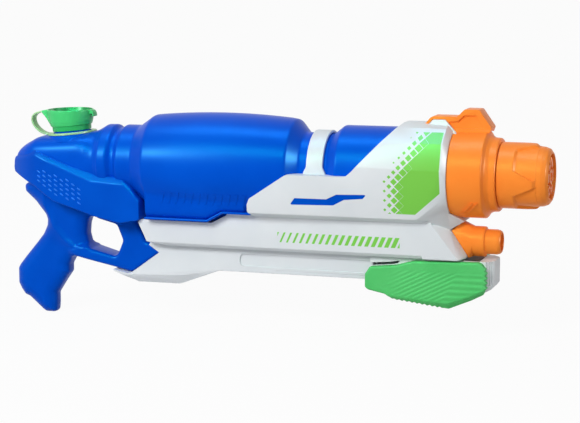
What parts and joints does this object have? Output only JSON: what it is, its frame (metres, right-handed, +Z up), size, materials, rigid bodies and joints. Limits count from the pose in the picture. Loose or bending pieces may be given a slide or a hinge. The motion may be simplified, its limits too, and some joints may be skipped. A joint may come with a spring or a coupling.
{
  "type": "water squirter",
  "caption": "Large hand-pumped water squirter: a long ribbed tank with a capped filler, a looped grip, a sliding pump handle under the barrel and a turning nozzle head.",
  "frame": {"origin": "centre of the flat foot under the grip, on the seam between the grip halves", "axes": "+X forward along the barrel to the nozzle, +Y to the left of someone who holds it, +Z up"},
  "size_m": [0.6665, 0.124, 0.269],
  "materials": {
    "blue_plastic": "moulded, glossy",
    "white_plastic": "moulded, satin",
    "orange_plastic": "moulded, satin",
    "green_pad": "moulded, matt, ribbed",
    "cap_green": "soft, slightly see-through",
    "inner_plastic": "moulded, plain",
    "rubber": "matt",
    "steel": "bright zinc"
  },
  "bodies": {
    "frame": {"tank": "blue_plastic", "tank_gasket": "rubber", "tank_strap": "white_plastic", "grip_right": "blue_plastic", "grip_left": "blue_plastic", "shell_right": "white_plastic", "shell_left": "white_plastic", "inlay_right": "blue_plastic", "inlay_left": "blue_plastic", "pump_rail": "white_plastic", "pump_cylinder": "inner_plastic", "cylinder_bush": "inner_plastic", "rod_seal": "rubber", "stop_washer": "rubber", "valve_block": "inner_plastic", "inlet_valve": "rubber", "outlet_valve": "rubber", "outlet_pipe": "inner_plastic", "nozzle_collar": "orange_plastic", "sight": "orange_plastic", "nozzle_manifold": "inner_plastic", "selector_seal": "rubber", "selector_screw": "steel", "front_cap": "orange_plastic", "shell_screws": "steel", "grip_screws": "steel"},
    "pump": {"pump_core": "white_plastic", "pump_pad_right": "green_pad", "pump_pad_left": "green_pad", "pump_link": "inner_plastic", "piston_rod": "inner_plastic", "piston": "inner_plastic", "piston_seal": "rubber", "link_pin": "steel", "link_screws": "steel"},
    "selector_head": {"selector": "orange_plastic", "nozzle_face": "orange_plastic"},
    "tether": {"cap_ring": "cap_green", "cap_strap": "cap_green"},
    "filler_cap": {"cap": "cap_green", "cap_liner": "rubber"}
  },
  "joints": [
    {"name": "pump_slide", "type": "slide", "parent": "frame", "child": "pump", "axis": [-1, 0, 0], "range_m": [0, 0.125]},
    {"name": "selector_turn", "type": "hinge", "parent": "frame", "child": "selector_head", "pos_m": [0.5675, 0, 0.193], "axis": [1, 0, 0], "range_deg": [-120, 120]},
    {"name": "tether_turn", "type": "hinge", "parent": "frame", "child": "tether", "pos_m": [0.03, 0, 0.22545], "axis": [-0.0929, 0, 0.9957], "range_deg": [-90, 90]},
    {"name": "cap_lift", "type": "slide", "parent": "tether", "child": "filler_cap", "axis": [-0.0929, 0, 0.9957], "range_m": [0, 0.038], "deforming": ["cap_strap"]}
  ]
}
